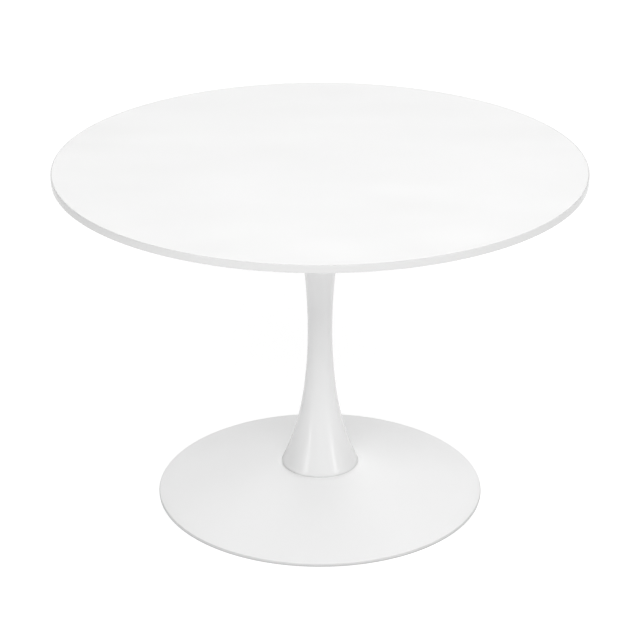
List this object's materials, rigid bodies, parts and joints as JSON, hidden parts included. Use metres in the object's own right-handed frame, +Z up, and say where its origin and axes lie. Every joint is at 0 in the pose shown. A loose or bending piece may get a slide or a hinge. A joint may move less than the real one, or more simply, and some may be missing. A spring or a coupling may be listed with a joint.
{
  "type": "round pedestal table",
  "caption": "Round dining table: a laminated disc top on a slender trumpet column and a domed disc base with levelling glides.",
  "frame": {"origin": "on the floor under the middle of the table, on the column's axis", "axes": "+Z up along the column, out of the tabletop; +X and +Y level, between the arms under the top"},
  "size_m": [1.1, 1.1, 0.75],
  "materials": {
    "top_laminate": "satin white decorative laminate",
    "edge_band": "satin white edging",
    "board_core": "bare medium-density fibreboard",
    "column_paint": "satin-gloss white powder coat",
    "base_paint": "fine-textured satin white powder coat",
    "frame_paint": "matt black powder coat",
    "zinc_steel": "bright zinc plate",
    "bare_steel": "plain mill finish",
    "ballast_iron": "sand-cast, dipped in black paint",
    "gasket_rubber": "soft matt off-white",
    "glide_plastic": "moulded matt charcoal nylon"
  },
  "bodies": {
    "table": {"table_board": "board_core", "top_laminate": "top_laminate", "backing_laminate": "top_laminate", "edge_band": "edge_band", "board_inserts": "zinc_steel", "spider_hub": "frame_paint", "spider_washers": "zinc_steel", "spider_screws": "zinc_steel", "rod_boss": "zinc_steel", "column_head_plate": "bare_steel", "column_shell": "column_paint", "column_foot_plate": "bare_steel", "tie_rod": "zinc_steel", "foot_gasket": "gasket_rubber", "base_dish": "base_paint", "crown_plate": "base_paint", "rod_washer": "zinc_steel", "rod_spring_washer": "zinc_steel", "rod_nut": "zinc_steel", "ballast_ring": "ballast_iron", "ballast_studs": "zinc_steel", "ballast_washers": "zinc_steel", "ballast_nuts": "zinc_steel", "glide_ring": "base_paint", "glide_nuts": "zinc_steel", "spider_arm_1": "frame_paint", "spider_arm_2": "frame_paint", "spider_arm_3": "frame_paint", "spider_arm_4": "frame_paint"},
    "pad_1": {"glide_pad_1": "glide_plastic"},
    "stud_1": {"glide_stud_1": "zinc_steel"},
    "pad_2": {"glide_pad_2": "glide_plastic"},
    "stud_2": {"glide_stud_2": "zinc_steel"},
    "pad_3": {"glide_pad_3": "glide_plastic"},
    "stud_3": {"glide_stud_3": "zinc_steel"},
    "pad_4": {"glide_pad_4": "glide_plastic"},
    "stud_4": {"glide_stud_4": "zinc_steel"},
    "pad_5": {"glide_pad_5": "glide_plastic"},
    "stud_5": {"glide_stud_5": "zinc_steel"},
    "pad_6": {"glide_pad_6": "glide_plastic"},
    "stud_6": {"glide_stud_6": "zinc_steel"}
  },
  "joints": [
    {"name": "glide_1_lift", "type": "slide", "parent": "table", "child": "pad_1", "axis": [0, 0, -1], "range_m": [0, 0.00625]},
    {"name": "glide_1_screw", "type": "hinge", "parent": "pad_1", "child": "stud_1", "pos_m": [0.24075, 0.139, 0], "axis": [0, 0, -1], "range_deg": [0, 1800]},
    {"name": "glide_2_lift", "type": "slide", "parent": "table", "child": "pad_2", "axis": [0, 0, -1], "range_m": [0, 0.00625]},
    {"name": "glide_2_screw", "type": "hinge", "parent": "pad_2", "child": "stud_2", "pos_m": [0, 0.278, 0], "axis": [0, 0, -1], "range_deg": [0, 1800]},
    {"name": "glide_3_lift", "type": "slide", "parent": "table", "child": "pad_3", "axis": [0, 0, -1], "range_m": [0, 0.00625]},
    {"name": "glide_3_screw", "type": "hinge", "parent": "pad_3", "child": "stud_3", "pos_m": [-0.24075, 0.139, 0], "axis": [0, 0, -1], "range_deg": [0, 1800]},
    {"name": "glide_4_lift", "type": "slide", "parent": "table", "child": "pad_4", "axis": [0, 0, -1], "range_m": [0, 0.00625]},
    {"name": "glide_4_screw", "type": "hinge", "parent": "pad_4", "child": "stud_4", "pos_m": [-0.24075, -0.139, 0], "axis": [0, 0, -1], "range_deg": [0, 1800]},
    {"name": "glide_5_lift", "type": "slide", "parent": "table", "child": "pad_5", "axis": [0, 0, -1], "range_m": [0, 0.00625]},
    {"name": "glide_5_screw", "type": "hinge", "parent": "pad_5", "child": "stud_5", "pos_m": [0, -0.278, 0], "axis": [0, 0, -1], "range_deg": [0, 1800]},
    {"name": "glide_6_lift", "type": "slide", "parent": "table", "child": "pad_6", "axis": [0, 0, -1], "range_m": [0, 0.00625]},
    {"name": "glide_6_screw", "type": "hinge", "parent": "pad_6", "child": "stud_6", "pos_m": [0.24075, -0.139, 0], "axis": [0, 0, -1], "range_deg": [0, 1800]}
  ],
  "couplings": [
    {"joint": "glide_1_screw", "follows": "glide_1_lift", "rad_per_m": 5026.5},
    {"joint": "glide_2_screw", "follows": "glide_2_lift", "rad_per_m": 5026.5},
    {"joint": "glide_3_screw", "follows": "glide_3_lift", "rad_per_m": 5026.5},
    {"joint": "glide_4_screw", "follows": "glide_4_lift", "rad_per_m": 5026.5},
    {"joint": "glide_5_screw", "follows": "glide_5_lift", "rad_per_m": 5026.5},
    {"joint": "glide_6_screw", "follows": "glide_6_lift", "rad_per_m": 5026.5}
  ]
}
